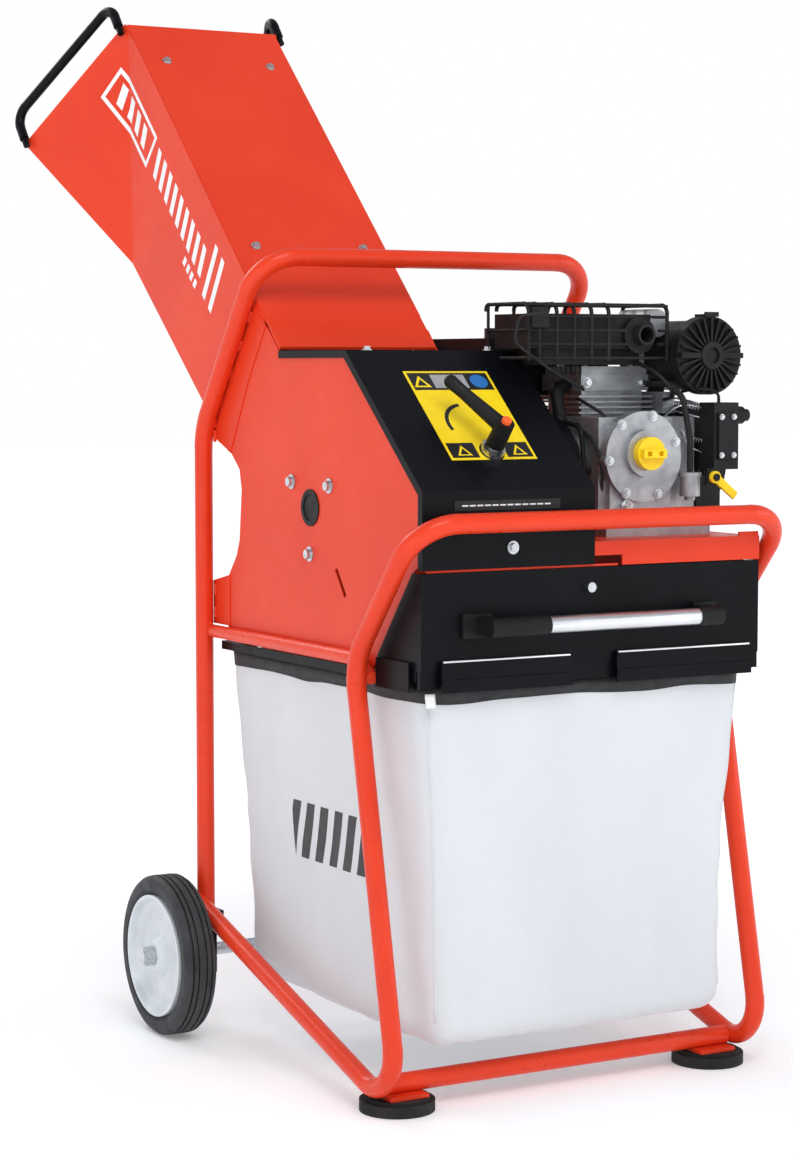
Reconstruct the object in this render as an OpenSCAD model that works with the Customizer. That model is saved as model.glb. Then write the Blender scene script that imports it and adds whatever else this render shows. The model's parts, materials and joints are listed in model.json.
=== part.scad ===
// Petrol wood chipper on a bent tube frame with a pull-out collection bag.
// Millimetres, +Z up, front (pull handle side) towards -Y, feed chute at the rear left.

/* [Frame] */
// centre distance between the two legs of the front hoop
front_hoop_w = 624; // [560:1:700]
// centre distance between the two legs of the rear hoop
rear_hoop_w = 594; // [540:1:660]
// outside diameter of the frame tube
tube_d = 28; // [22:1:34]
// wall thickness of the frame tube
tube_wall = 2; // [1.5:0.1:3]
// height of the centre line of the top bar
top_bar_z = 1210; // [1140:1:1290]
// height of the centre line of the front bumper bar
bumper_z = 833; // [810:1:880]
// bend radius of the hoop corners
corner_r = 66; // [50:1:90]
// diameter of the rubber feet
foot_d = 108; // [80:1:120]

/* [Wheels] */
// outside diameter of the tyres
wheel_d = 250; // [200:1:300]
// width of the tyres
tyre_w = 54; // [40:1:70]
// diameter of the axle
axle_d = 20; // [16:1:25]

/* [Chute] */
// outside width of the feed chute
chute_w = 273; // [220:1:273]
// sheet thickness of the chute and plates
sheet_t = 3; // [2:0.5:4]
// tube diameter of the chute handles
handle_tube_d = 16; // [12:1:20]

/* [Rotor] */
// radius swept by the rotor knives
knife_r = 104; // [80:1:108]
// diameter of the rotor shaft
shaft_d = 35; // [25:1:45]
// pitch radius of the pulley on the rotor
rotor_pulley_r = 84; // [60:1:90]
// pitch radius of the pulley on the engine
engine_pulley_r = 42; // [30:1:50]

/* [Bag] */
// width of the bag at its rim
bag_w = 548; // [480:1:560]
// height of the bag below its rim
bag_h = 515; // [420:1:530]

/* [Output] */
// sub-part to draw

/* [Hidden] */
$fn = 48;
y_mid = 69.8;
hw = front_hoop_w / 2;
rw = rear_hoop_w / 2;
tr = tube_d / 2;
plate_x = 281;
chute_x = -plate_x + chute_w / 2;
inner_x = -plate_x + chute_w;
rotor_y = -325;
rotor_z = 840;
crank_y = -478;
crank_z = 906;
deck_z = 800;
belt_x = 21;
face_y = -653;
guard_top_z = 1069;
guard_low_z = 768;
hood_top_z = 764;
hood_low_z = 629;
bag_top_z = 606;
wheel_x = hw + 48;
wheel_r = wheel_d / 2;
slope_a = atan2(193, 217);
slope_top = [-436, 1069];
slope_low = [-653, 876];

// ---------- helpers ----------
function unit(v) = v / norm(v);
function turn(u, w) = acos(max(-1, min(1, u * w)));
function back_off(p, i, r) = (i == 0 || i == len(p) - 1) ? 0
  : r[i] * tan(turn(unit(p[i] - p[i - 1]), unit(p[i + 1] - p[i])) / 2);
function chute_line_top(y) = 1070 + (1607 - 1070) / (316 + 231) * (y + 231);
function chute_line_low(y) = 998 + (1424 - 998) / (543 - 43) * (y - 43);

module placed() {
  translate([0, y_mid, 0]) children();
}

module rod(a, b, d) {
  v = b - a;
  translate(a)
    rotate([0, acos(v[2] / norm(v)), atan2(v[1], v[0])])
      cylinder(h = norm(v), d = d);
}

module elbow(p0, p1, p2, r, d) {
  u = unit(p1 - p0);
  w = unit(p2 - p1);
  t = turn(u, w);
  n = unit(w - u * (u * w));
  c = p1 - u * r * tan(t / 2) + n * r;
  x = -n;
  z = cross(x, u);
  multmatrix([[x[0], u[0], z[0], c[0]], [x[1], u[1], z[1], c[1]], [x[2], u[2], z[2], c[2]]])
    rotate_extrude(angle = t)
      translate([r, 0])
        circle(d = d + 0.5, $fn = 32);
}

// a rod bent at each inner point; the straights run a little way into the bends
module bent_rod(p, r, d) {
  last = len(p) - 2;
  lap = 0.4;
  for (i = [0 : len(p) - 2]) {
    v = unit(p[i + 1] - p[i]);
    rod(p[i] + v * (i == 0 ? 0 : back_off(p, i, r) - lap),
      p[i + 1] - v * (i == last ? 0 : back_off(p, i + 1, r) - lap), d);
  }
  for (i = [1 : len(p) - 2])
    elbow(p[i - 1], p[i], p[i + 1], r[i], d);
}

module bent_tube(p, r, d, wall) {
  n = len(p);
  inner = [for (i = [0 : n - 1])
    i == 0 ? p[0] - unit(p[1] - p[0]) * 2
      : i == n - 1 ? p[n - 1] + unit(p[n - 1] - p[n - 2]) * 2 : p[i]];
  difference() {
    bent_rod(p, r, d);
    bent_rod(inner, r, d - 2 * wall);
  }
}

module both_sides() {
  children();
  mirror([1, 0, 0]) children();
}

// flat sheet in the Y-Z plane, from x towards +X
module side_sheet(x, pts, t) {
  translate([x, 0, 0])
    rotate([90, 0, 90])
      linear_extrude(t)
        polygon(pts);
}

// prism along X between x0 and x1 from a Y-Z outline
module along_x(x0, x1) {
  translate([x0, 0, 0])
    rotate([90, 0, 90])
      linear_extrude(x1 - x0)
        children();
}

// round part along X
module cyl_x(x0, x1, y, z, r) {
  translate([x0, y, z])
    rotate([0, 90, 0])
      cylinder(h = x1 - x0, r = r);
}

// round part along Y, from y0 back to y1
module cyl_y(x, y0, y1, z, r) {
  translate([x, y1, z])
    rotate([90, 0, 0])
      cylinder(h = y1 - y0, r = r);
}

module box(x0, x1, y0, y1, z0, z1) {
  translate([x0, y0, z0])
    cube([x1 - x0, y1 - y0, z1 - z0]);
}

// hexagon bolt head with washer, on a surface at p facing direction v
module bolt_head(p, v, size) {
  translate(p)
    rotate([0, acos(v[2] / norm(v)), atan2(v[1], v[0])]) {
      cylinder(h = size * 0.18, d = size * 1.7, $fn = 32);
      cylinder(h = size * 0.65, d = size * 1.15, $fn = 6);
    }
}

// ---------- frame ----------
rear_path = [[-rw, 0, 192], [-rw, 0, 949], [-rw, -192, top_bar_z], [rw, -192, top_bar_z],
  [rw, 0, 949], [rw, 0, 192]];
rear_radii = [0, 100, corner_r, corner_r, 100, 0];

module rear_hoop() color([0.86, 0.2, 0.09])
  placed() bent_tube(rear_path, rear_radii, tube_d, tube_wall);

foot_corner = [-hw, -640, 12.3];
front_path = [[-hw, -1, 206], foot_corner, [-hw, -512, 632], [-hw, -684, bumper_z],
  [hw, -684, bumper_z], [hw, -512, 632], [hw, -640, 12.3], [hw, -1, 206]];
front_radii = [0, 58, 90, corner_r, corner_r, 90, 58, 0];

module front_hoop() color([0.86, 0.2, 0.09])
  placed()
    difference() {
      bent_tube(front_path, front_radii, tube_d, tube_wall);
      both_sides()
        rod([-rw, 0, 150], [-rw, 0, 260], tube_d);
    }

module frame_crossbars() color([0.86, 0.2, 0.09])
  placed() {
    difference() {
      rod([-hw + tr + 0.26, -563.4, 38.2], [hw - tr - 0.26, -563.4, 38.2], tube_d);
      rod([-hw, -563.4, 38.2], [hw, -563.4, 38.2], tube_d - 2 * tube_wall);
    }
    both_sides() {
      difference() {
        bent_rod([[-291.1, -14.1, 634], [-291.1, -478, 634], [-291.1, -528, 610]], [0, 40, 0], 20);
        bent_rod(front_path, front_radii, tube_d + 0.2);
      }
      difference() {
        box(-hw + tr + 0.3, -236, -592, -528, 20, 25.5);
        translate([-270, -560, 18]) cylinder(h = 6.1, d = 10.4);
      }
    }
  }

// caps on the lower ends of the rear legs and in the bearing hole of the left plate
module plastic_plugs() color([0.05, 0.05, 0.06])
  placed() {
    both_sides()
      translate([-rw, 0, 189]) {
        cylinder(h = 3, d = tube_d);
        cylinder(h = 22, d = tube_d - 2 * tube_wall);
      }
    difference() {
      cyl_x(-plate_x - 2, -plate_x + sheet_t, rotor_y, rotor_z, 27);
      cyl_x(-plate_x - 3, -plate_x - 0.5, rotor_y, rotor_z, 20);
    }
  }

module rubber_feet() color([0.05, 0.05, 0.06])
  placed() both_sides()
    translate([-270, -560, 0])
      difference() {
        union() {
          cylinder(h = 16, d = foot_d);
          cylinder(h = 20, d = foot_d - 14);
        }
        translate([0, 0, -1]) cylinder(h = 7, d = 26);
        translate([0, 0, 3]) cylinder(h = 20, d = 10.4);
      }

module axle_brackets() color([0.05, 0.05, 0.06])
  placed() both_sides()
    difference() {
      union() {
        box(-rw - 4, -rw + 4, -30, 34, 96, 189);
        box(-rw - 8, -rw + 24, -14, 20, 181, 189);
      }
      cyl_x(-rw - 8, -rw + 8, 5, wheel_r, axle_d / 2);
    }

module axle() color([0.6, 0.62, 0.64])
  placed() {
    cyl_x(-wheel_x - 40, wheel_x + 40, 5, wheel_r, axle_d / 2);
    both_sides() {
      cyl_x(-wheel_x - 45, -wheel_x - 29, 5, wheel_r, 15);
      cyl_x(-wheel_x - 47, -wheel_x - 44, 5, wheel_r, 12);
    }
  }

// tyre outline: x across the width, y from the centre
module tyre_half_outline() {
  w = tyre_w / 2;
  polygon([[-w + 6, wheel_r - 30], [-w, wheel_r - 22], [-w, wheel_r - 10], [-w + 3, wheel_r - 4],
    [-w + 8, wheel_r - 0.5], [-w + 10, wheel_r - 0.5], [-w + 10, wheel_r - 4],
    [-w + 13, wheel_r - 4], [-w + 13, wheel_r], [-w + 19, wheel_r], [-w + 19, wheel_r - 4],
    [-w + 22, wheel_r - 4], [-w + 22, wheel_r], [w - 22, wheel_r], [w - 22, wheel_r - 4],
    [w - 19, wheel_r - 4], [w - 19, wheel_r], [w - 13, wheel_r], [w - 13, wheel_r - 4],
    [w - 10, wheel_r - 4], [w - 10, wheel_r - 0.5], [w - 8, wheel_r - 0.5], [w - 3, wheel_r - 4],
    [w, wheel_r - 10], [w, wheel_r - 22], [w - 6, wheel_r - 30]]);
}

module at_wheel(side) {
  translate([side * wheel_x, 5, wheel_r])
    rotate([0, -90, 0])
      rotate_extrude($fn = 96)
        rotate([0, 0, -90])
          children();
}

module tyre(side) placed() at_wheel(side) tyre_half_outline();

module tyre_left() color([0.06, 0.06, 0.07]) tyre(-1);

module tyre_right() color([0.06, 0.06, 0.07]) tyre(1);

// rim outline: x across the width (outside of the machine negative), y from the centre
module rim_outline() {
  w = tyre_w / 2;
  r = wheel_r - 30;
  polygon([[-w - 1, r], [-w - 1, r - 5], [-w + 8, r - 9], [-w + 14, r - 22], [-w + 12, 34],
    [-w + 3, 26], [-w - 1, 22], [-w - 1, axle_d / 2 + 0.06], [w + 4, axle_d / 2 + 0.06],
    [w + 4, 22], [-w + 20, 26], [-w + 20, r - 20], [w - 5, r - 9], [w + 1, r - 5], [w + 1, r]]);
}

module rim(side) placed()
  if (side < 0)
    at_wheel(-1) rim_outline();
  else
    mirror([1, 0, 0]) at_wheel(-1) rim_outline();

module rim_left() color([0.72, 0.74, 0.77]) rim(-1);

module rim_right() color([0.72, 0.74, 0.77]) rim(1);

// ---------- plates of the chipper housing ----------
plate_outline = [[-52, 621], [-52, 720], [-82, 756], [-92, 780], [-100, 857], [-93, 888],
  [-62, 918], [-124, 1026], [-180, 1108], [-196, 1096], [-230, 1063], [-432, 1063],
  [-641, 876], [-641, 775], [-626, 766], [-530, 648], [-512, 621]];

leg_strip = [[-60, 645], [-4, 645], [-4, 712], [-60, 724]];

module side_plate_left() color([0.86, 0.2, 0.09])
  placed() {
    difference() {
      side_sheet(-plate_x, plate_outline, sheet_t);
      cyl_x(-plate_x - 2, -plate_x + 8, rotor_y, rotor_z, 27.05);
      for (a = [32, 150, 271])
        cyl_x(-plate_x - 2, -plate_x + 8, rotor_y + 68 * cos(a), rotor_z + 68 * sin(a), 5.2);
      along_x(-plate_x - 2, -plate_x + 8)
        translate([-416, 736])
          rotate(54)
            square([48, 8], center = true);
    }
    // strips that join the plate to the rear leg
    side_sheet(-plate_x - 2, leg_strip, 2);
    side_sheet(-plate_x - 1.7, [[-64, 914], [-3, 938], [-8, 962], [-142, 1142], [-184, 1106],
      [-127, 1026]], 1.7);
  }

module side_plate_right() color([0.86, 0.2, 0.09])
  placed() {
    side_sheet(plate_x - sheet_t, [[-52, 621], [-52, 720], [-82, 756], [-92, 780],
      [-92, 796], [-636, 796], [-636, 775], [-626, 766], [-530, 648], [-512, 621]],
      sheet_t);
    side_sheet(plate_x, leg_strip, 2);
    box(-plate_x + sheet_t, plate_x - sheet_t + 0.5, -84, -81, 621, 754);
  }

inner_outline = [[-110, 650], [-110, 780], [-100, 857], [-93, 888], [-62, 918], [-124, 1026],
  [-180, 1108], [-196, 1100], [-230, 1063], [-432, 1063], [-636, 878], [-636, 769],
  [-560, 694], [-482, 650]];

module inner_plate() color([0.86, 0.2, 0.09])
  placed()
    difference() {
      side_sheet(inner_x, inner_outline, sheet_t);
      cyl_x(inner_x - 2, inner_x + 8, rotor_y, rotor_z, 27);
      for (a = [32, 150, 271])
        cyl_x(inner_x - 2, inner_x + 8, rotor_y + 68 * cos(a), rotor_z + 68 * sin(a), 5.2);
    }

module rotor_casing() color([0.86, 0.2, 0.09])
  placed()
    along_x(-plate_x + sheet_t, inner_x)
      difference() {
        translate([rotor_y, rotor_z]) circle(r = knife_r + 15);
        translate([rotor_y, rotor_z]) circle(r = knife_r + 12);
        translate([rotor_y, rotor_z]) rotate(-50) square([400, 400]);
        translate([rotor_y, rotor_z]) rotate(10) square([400, 400]);
        translate([rotor_y, rotor_z]) rotate(-140) square([400, 400]);
      }

module bearing(x0, x1, x2) {
  difference() {
    union() {
      cyl_x(min(x0, x1), max(x0, x1), rotor_y, rotor_z, 84);
      cyl_x(min(x0, x2), max(x0, x2), rotor_y, rotor_z, 40);
    }
    cyl_x(min(x0, x2) - 1, max(x0, x2) + 1, rotor_y, rotor_z, shaft_d / 2 + 0.05);
    for (a = [32, 150, 271])
      cyl_x(min(x0, x1) - 1, max(x0, x1) + 1, rotor_y + 68 * cos(a), rotor_z + 68 * sin(a), 5);
  }
}

// flanged bearings on the inner faces of both plates
module rotor_bearings() color([0.25, 0.26, 0.28])
  placed() {
    bearing(-plate_x + sheet_t, -plate_x + sheet_t + 8, -plate_x + sheet_t + 26);
    bearing(inner_x, inner_x - 8, inner_x - 26);
  }

// ---------- feed chute ----------
fold_y = 298;
mouth_low = [543, 1424];
mouth_top = [316, 1607];
flare = 89;

// one side of the chute: a sheet folded along a leaning line, so that its
// upper end opens out towards the mouth
module chute_cheek() {
  low = chute_line_low(fold_y);
  fold_top = mouth_top[0] - 9;
  lean = atan2(fold_top - fold_y, chute_line_top(fold_top) - low);
  out = (mouth_low[0] - fold_y) * cos(lean) - (mouth_low[1] - low) * sin(lean);
  a = atan2(flare, out);
  t = sheet_t;
  reach = 330;
  intersection() {
    translate([-plate_x, fold_y, low])
      rotate([-lean, 0, 0])
        translate([0, 0, -500])
          linear_extrude(1000)
            polygon([[0, -620], [0, 0], [-reach * sin(a), reach * cos(a)],
              [-reach * sin(a) + t * cos(a), reach * cos(a) + t * sin(a)],
              [t, t * tan(a / 2)], [t, -620]]);
    side_sheet(-plate_x - flare - 20, [[-61, 918.6], [-123, 1026.6], [-179, 1108.8],
      [-175, chute_line_top(-175) - 1], mouth_top - [0, 1], mouth_low,
      [-55, chute_line_low(-55)]], flare + 40);
  }
}

// the chute is welded up from two cheeks, a top sheet and a floor
module feed_chute() color([0.86, 0.2, 0.09])
  placed() {
    chute_cheek();
    translate([2 * chute_x, 0, 0])
      mirror([1, 0, 0]) chute_cheek();
    along_x(-plate_x + sheet_t / 2, inner_x - sheet_t / 2)
      polygon([[-226, chute_line_top(-226)], [315, chute_line_top(315)],
        [317, chute_line_top(315) - 4], [-224, chute_line_top(-226) - 4]]);
    chute_floor();
  }

module chute_floor() {
  a = atan2(1424 - 998, 500);
  translate([chute_x, -247, chute_line_low(-247)])
    rotate([a, 0, 0])
      translate([0, 0, 0.7]) {
        l_plate = (247 - 58) / cos(a);
        l0 = (fold_y + 247) / cos(a);
        l1 = (mouth_low[0] + 247) / cos(a) - 2;
        w0 = chute_w / 2 - sheet_t / 2;
        w1 = chute_w / 2 + flare - sheet_t / 2 - 1;
        w2 = chute_w / 2 - sheet_t;
        linear_extrude(sheet_t)
          polygon([[-w2, 0], [w2, 0], [w2, l_plate], [w0, l_plate], [w0, l0], [w1, l1],
            [-w1, l1], [-w0, l0], [-w0, l_plate], [-w2, l_plate]]);
      }
}

// mouth rim frame: u along the rim downwards, n away from the chute
rim_u = unit([-flare, mouth_low[0] - mouth_top[0], mouth_low[1] - mouth_top[1]]);
rim_n = unit([0, 0.63, 0.777]);
h_top = [-plate_x - 9, mouth_top[0], mouth_top[1]] + rim_u * 8 + rim_n * 0.3;
h_low = [-plate_x - flare - 7, mouth_low[0], mouth_low[1]] - rim_u * 12 + rim_n * 0.3;

module chute_handle() {
  bent_rod([h_top, h_top + rim_n * 48, h_low + rim_n * 52, h_low], [0, 26, 26, 0],
    handle_tube_d);
  rod(h_top - rim_n * 16, h_top + rim_n * 2, 11);
  rod(h_low - rim_n * 16, h_low + rim_n * 2, 11);
}

module chute_handles() color([0.05, 0.05, 0.06])
  placed() {
    chute_handle();
    translate([2 * chute_x, 0, 0])
      mirror([1, 0, 0]) chute_handle();
  }

curtain_y = 246;
curtain_z = chute_line_top(curtain_y) - 18;

// rubber strips, each with an eye that turns on the curtain pin
module chute_curtain() color([0.04, 0.04, 0.05])
  placed()
    for (i = [-2 : 2]) {
      x = chute_x + i * 51;
      difference() {
        union() {
          cyl_x(x - 23.5, x + 23.5, curtain_y, curtain_z, 8);
          translate([x - 24.5, curtain_y, curtain_z])
            rotate([12, 0, 0])
              translate([0, -2, -190]) cube([49, 4, 183.5]);
        }
        cyl_x(x - 30, x + 30, curtain_y, curtain_z, 5.05);
      }
    }

// ---------- control guard and clutch lever ----------
guard_out = [[-229, 1069], slope_top, slope_low, [-653, 768], [-649, 768], [-649, 874],
  [-434, 1065], [-229, 1065]];

module control_guard() color([0.04, 0.04, 0.05])
  placed()
    difference() {
      union() {
        along_x(-plate_x, inner_x + sheet_t + 3) polygon(guard_out);
        side_sheet(inner_x + sheet_t + 0.5, [[-229, 1067], slope_top, slope_low, [-653, 768],
          [-640, 768], [-640, 872], [-432, 1056], [-229, 1056]], 2.5);
        side_sheet(-plate_x - 3, [[-229, 1069], slope_top, slope_low, [-653, 768],
          [-641, 768], [-641, 871], [-431, 1058], [-229, 1058]], 3);
      }
      slope_frame(-138, 214, 0)
        cylinder(h = 30, r = 13.05, center = true);
    }

// a point on the sloping face: x across, s down from its top edge, h above it
function on_slope(x, s, h) = [x, slope_top[0] - s * cos(slope_a) - h * sin(slope_a),
  slope_top[1] - s * sin(slope_a) + h * cos(slope_a)];

module slope_frame(x, s, h) {
  translate(on_slope(x, s, h))
    rotate([slope_a, 0, 0])
      children();
}

module control_label() color([0.95, 0.8, 0.08])
  placed() {
    slope_frame(-140, 138, 0)
      difference() {
        translate([-70, -92, 0]) cube([140, 184, 0.6]);
        translate([2, -76, -1]) cylinder(h = 3, r = 19);
      }
    box(-232, -62, -653.6, -653, 849, 862);
  }

module lever_bush() color([0.75, 0.77, 0.8])
  placed()
    slope_frame(-138, 214, 0)
      difference() {
        union() {
          cylinder(h = 10, r = 17);
          translate([0, 0, -4]) cylinder(h = 6, r = 13);
        }
        translate([0, 0, -6]) cylinder(h = 20, r = 9.05);
      }

module lever_stalk() color([0.6, 0.62, 0.64])
  placed()
    slope_frame(-138, 214, -60)
      cylinder(h = 100, r = 9);

// hub of the grip and a tapering bar that lies over the label
module lever_grip() color([0.03, 0.03, 0.035])
  placed()
    slope_frame(-138, 214, 0)
      difference() {
        union() {
          translate([0, 0, 14]) cylinder(h = 42, r1 = 14, r2 = 13);
          translate([0, 0, 46])
            rotate([0, 0, 24])
              rotate([-90, 0, 0]) {
                cylinder(h = 78, r1 = 12, r2 = 9);
                translate([0, 0, 78]) cylinder(h = 26, r1 = 9, r2 = 10);
                translate([0, 0, 104]) sphere(r = 10);
              }
        }
        translate([0, 0, 10]) cylinder(h = 30, r = 9);
        translate([0, 0, 45]) cylinder(h = 24, r = 7.4);
      }

module lever_button() color([0.94, 0.3, 0.1])
  placed()
    slope_frame(-138, 214, 0)
      translate([0, 0, 50]) {
        cylinder(h = 11, r = 7);
        translate([0, 0, 11]) cylinder(h = 2, r1 = 7, r2 = 5);
      }

// ---------- rotor and belt drive ----------
module rotor_shaft() color([0.6, 0.62, 0.64])
  placed()
    difference() {
      cyl_x(-plate_x + sheet_t + 1, belt_x + 16, rotor_y, rotor_z, shaft_d / 2);
      cyl_x(belt_x + 10, belt_x + 20, rotor_y, rotor_z, 6);
    }

module rotor_drum() color([0.3, 0.31, 0.33])
  placed()
    difference() {
      cyl_x(-246, -40, rotor_y, rotor_z, 74);
      cyl_x(-250, -36, rotor_y, rotor_z, shaft_d / 2);
      for (a = [0, 180])
        along_x(-250, -36)
          translate([rotor_y, rotor_z])
            rotate(a)
              translate([58, -2]) square([40, 24]);
    }

module rotor_knives() color([0.75, 0.77, 0.8])
  placed()
    for (a = [0, 180])
      along_x(-242, -44)
        translate([rotor_y, rotor_z])
          rotate(a)
            polygon([[59, 0], [knife_r - 3, 0], [knife_r, 9], [59, 9]]);

module pulley_outline(r) {
  difference() {
    translate([0, -11]) square([r + 3, 22]);
    polygon([[r - 7, -3], [r + 4, -7.4], [r + 4, 7.4], [r - 7, 3]]);
  }
}

module pulley(y, z, r, hole) {
  translate([belt_x, y, z])
    rotate([0, 90, 0])
      difference() {
        rotate_extrude($fn = 72) pulley_outline(r);
        cylinder(h = 60, r = hole, center = true);
      }
}

module rotor_pulley() color([0.22, 0.23, 0.25])
  placed()
    difference() {
      pulley(rotor_y, rotor_z, rotor_pulley_r, shaft_d / 2);
      for (a = [0 : 60 : 300])
        cyl_x(belt_x - 20, belt_x + 20, rotor_y + 47 * cos(a), rotor_z + 47 * sin(a), 14);
    }

module engine_crankshaft() color([0.3, 0.31, 0.33])
  placed() {
    pulley(crank_y, crank_z, engine_pulley_r, 9);
    cyl_x(belt_x - 14, 66, crank_y, crank_z, 10);
  }

// belt loop round both pulleys
drive_d = norm([rotor_y - crank_y, rotor_z - crank_z]);
drive_a = atan2(rotor_z - crank_z, rotor_y - crank_y);
wrap = asin((rotor_pulley_r - engine_pulley_r) / drive_d);

// solid loop round both pulleys, e outside their pitch radii, from x0 to x1
module belt_loop(x0, x1, e) {
  ra = engine_pulley_r + e;
  rb = rotor_pulley_r + e;
  cyl_x(x0, x1, crank_y, crank_z, ra);
  cyl_x(x0, x1, rotor_y, rotor_z, rb);
  along_x(x0, x1)
    translate([crank_y, crank_z])
      rotate(drive_a)
        polygon([(ra - 0.03) * [sin(-wrap), cos(wrap)],
          [drive_d, 0] + (rb - 0.03) * [sin(-wrap), cos(wrap)],
          [drive_d, 0] + (rb - 0.03) * [sin(-wrap), -cos(wrap)],
          (ra - 0.03) * [sin(-wrap), -cos(wrap)]]);
}

module drive_belt() color([0.03, 0.03, 0.035])
  placed()
    difference() {
      belt_loop(belt_x - 4.5, belt_x + 4.5, 5);
      belt_loop(belt_x - 6, belt_x + 6, -0.7);
    }

idler_c = [-409.4, 958.5];
idler_pivot = [-363, 957.5];

// room taken by the belt loop and the idler, e outside the pitch line
module drive_space(x0, x1, e) {
  belt_loop(x0, x1, e);
  cyl_x(x0, x1, idler_c[0], idler_c[1] + 2, e + 8);
  cyl_x(x0, x1, idler_pivot[0], idler_pivot[1], e - 5);
  along_x(x0, x1)
    translate([idler_c[0], 930]) square([46.4, 22 + e]);
}

module belt_cover() color([0.04, 0.04, 0.05])
  placed()
    difference() {
      drive_space(inner_x + 6.5, belt_x + 22, 22);
      drive_space(inner_x + 5, belt_x + 19, 19);
      cyl_x(belt_x, belt_x + 40, crank_y, crank_z, 16);
    }

module belt_idler() color([0.6, 0.62, 0.64])
  placed() {
    difference() {
      along_x(inner_x + 7.5, inner_x + 11.5)
        union() {
          translate(idler_pivot) circle(r = 10);
          translate(idler_c) circle(r = 9);
          translate(idler_c) translate([0, -8]) square([46.4, 15.4]);
        }
      cyl_x(inner_x, inner_x + 20, idler_pivot[0], idler_pivot[1], 5);
    }
    cyl_x(inner_x + 11, belt_x + 7, idler_c[0], idler_c[1], 4);
    cyl_x(belt_x - 7, belt_x + 7, idler_c[0], idler_c[1], 15);
  }

// ---------- engine deck ----------
module engine_deck() color([0.86, 0.2, 0.09])
  placed()
    difference() {
      union() {
        box(inner_x + sheet_t + 0.2, plate_x, -650, -84, 796, 800);
        box(inner_x + sheet_t + 3.2, plate_x + 6, face_y, -650, 780, 800);
        box(45, plate_x + 6, face_y, -650, 765.5, 781);
        box(plate_x - 30, plate_x + 4, face_y, -649, 799, 806);
      }
      box(inner_x + 5, belt_x + 26, -582, -204, 790, 805);
      box(inner_x + 1, inner_x + sheet_t + 3.2, -651, -638, 790, 806);
      for (x = [90, 220])
        for (y = [-560, -380])
          translate([x, y, 790]) cylinder(h = 20, r = 4.2);
    }

// ---------- engine ----------
module crankcase() color([0.5, 0.51, 0.53])
  placed()
    difference() {
      union() {
        box(66, 236, -560, -330, 822, 972);
        box(104, 206, -556, -334, 811, 823);
        box(60, 244, -590, -350, deck_z, 812);
        cyl_x(60, 67, crank_y, crank_z, 46);
        for (z = [840, 858, 876, 894])
          box(235, 240, -550, -340, z, z + 5);
      }
      cyl_x(40, 80, crank_y, crank_z, 10.05);
      for (x = [90, 220])
        for (y = [-560, -380])
          translate([x, y, 795]) cylinder(h = 26, r = 4.2);
    }

cover_angles = [20, 75, 130, 185, 240, 295];

module crankcase_cover() color([0.62, 0.63, 0.65])
  placed()
    difference() {
      union() {
        cyl_y(132, -580, -560, 915, 66);
        cyl_y(132, -588, -580, 920, 34);
        box(78, 186, -572, -560, 834, 900);
        for (a = cover_angles)
          cyl_y(132 + 60 * cos(a), -580, -560, 915 + 60 * sin(a), 9);
      }
      cyl_y(132, -595, -570, 920, 14.1);
    }

module oil_cap() color([0.95, 0.8, 0.08])
  placed() {
    cyl_y(132, -600, -588.3, 920, 24);
    cyl_y(132, -588.4, -572, 920, 14);
    difference() {
      box(112, 152, -610, -600, 914, 926);
      box(118, 126, -611, -603, 916.5, 923.5);
      box(138, 146, -611, -603, 916.5, 923.5);
    }
  }

// finned barrel, head and rocker cover, bolted together
module engine_cylinder() color([0.5, 0.51, 0.53])
  placed() {
    box(96, 204, -470, -380, 972, 1010);
    for (z = [976 : 8 : 1000])
      box(84, 216, -482, -368, z, z + 3);
    box(90, 210, -478, -372, 1010.2, 1034);
    for (y = [-476 : 12 : -380])
      box(92, 208, y, y + 3, 1033, 1046);
    box(210.2, 218, -464, -386, 1012, 1032);
  }

module spark_plug() color([0.03, 0.03, 0.035])
  placed() {
    rod([90, -446, 1018.4], [80, -446, 1018.4], 12);
    bent_rod([[82, -446, 1018.4], [55, -462, 1013], [55, -476, 961]], [0, 14, 0], 20);
    bent_rod([[55, -474, 966], [55, -530, 958], [55, -540, 898], [65.2, -540, 893]],
      [0, 18, 4, 0], 7);
  }

module muffler() color([0.12, 0.12, 0.13])
  placed()
    difference() {
      union() {
        box(-22, 184, -520, -416, 1072, 1122);
        box(4, 178, -500, -430, 1048, 1074);
        rod([150, -433, 1056], [150, -433, 1046], 30);
        cyl_y(160, -528, -519, 1092, 27);
        cyl_y(160, -546, -527, 1092, 15);
      }
      cyl_y(160, -548, -500, 1092, 11.5);
    }

// wire cage round the muffler: rails along X joined by bent wires
module muffler_guard() color([0.04, 0.04, 0.045])
  placed() {
    for (z = [1058, 1078, 1098, 1118, 1134])
      difference() {
        rod([-38, -534, z], [204, -534, z], 4.5);
        cyl_y(160, -540, -526, 1092, 30);
      }
    for (y = [-510, -480, -450, -424])
      rod([-38, y, 1136], [204, y, 1136], 4.5);
    for (x = [-38, -20, 10, 40, 70, 100, 204])
      bent_rod([[x, -534, 1054], [x, -534, 1136], [x, -418, 1136], [x, -418, 1126]],
        [0, 14, 8, 0], 5.5);
    rod([-38, -534, 1058], [-38, -458, 1058], 4.5);
    rod([-38, -534, 1098], [-38, -424, 1098], 4.5);
    rod([-38, -424, 1136], [-38, -424, 1075], 4.5);
    for (x = [10, 100])
      rod([x, -418, 1128], [x, -418, 1122], 5);
    // coil block clipped to the left end of the cage
    box(-36, -8, -541, -532, 1102, 1131);
  }

module air_cleaner_body() color([0.045, 0.045, 0.05])
  placed() {
    cyl_y(262, -540, -400, 1062, 52);
    box(226.3, 262, -500, -420, 1020, 1062);
    box(226.3, 238, -480, -450, 1008, 1021);
  }

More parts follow.
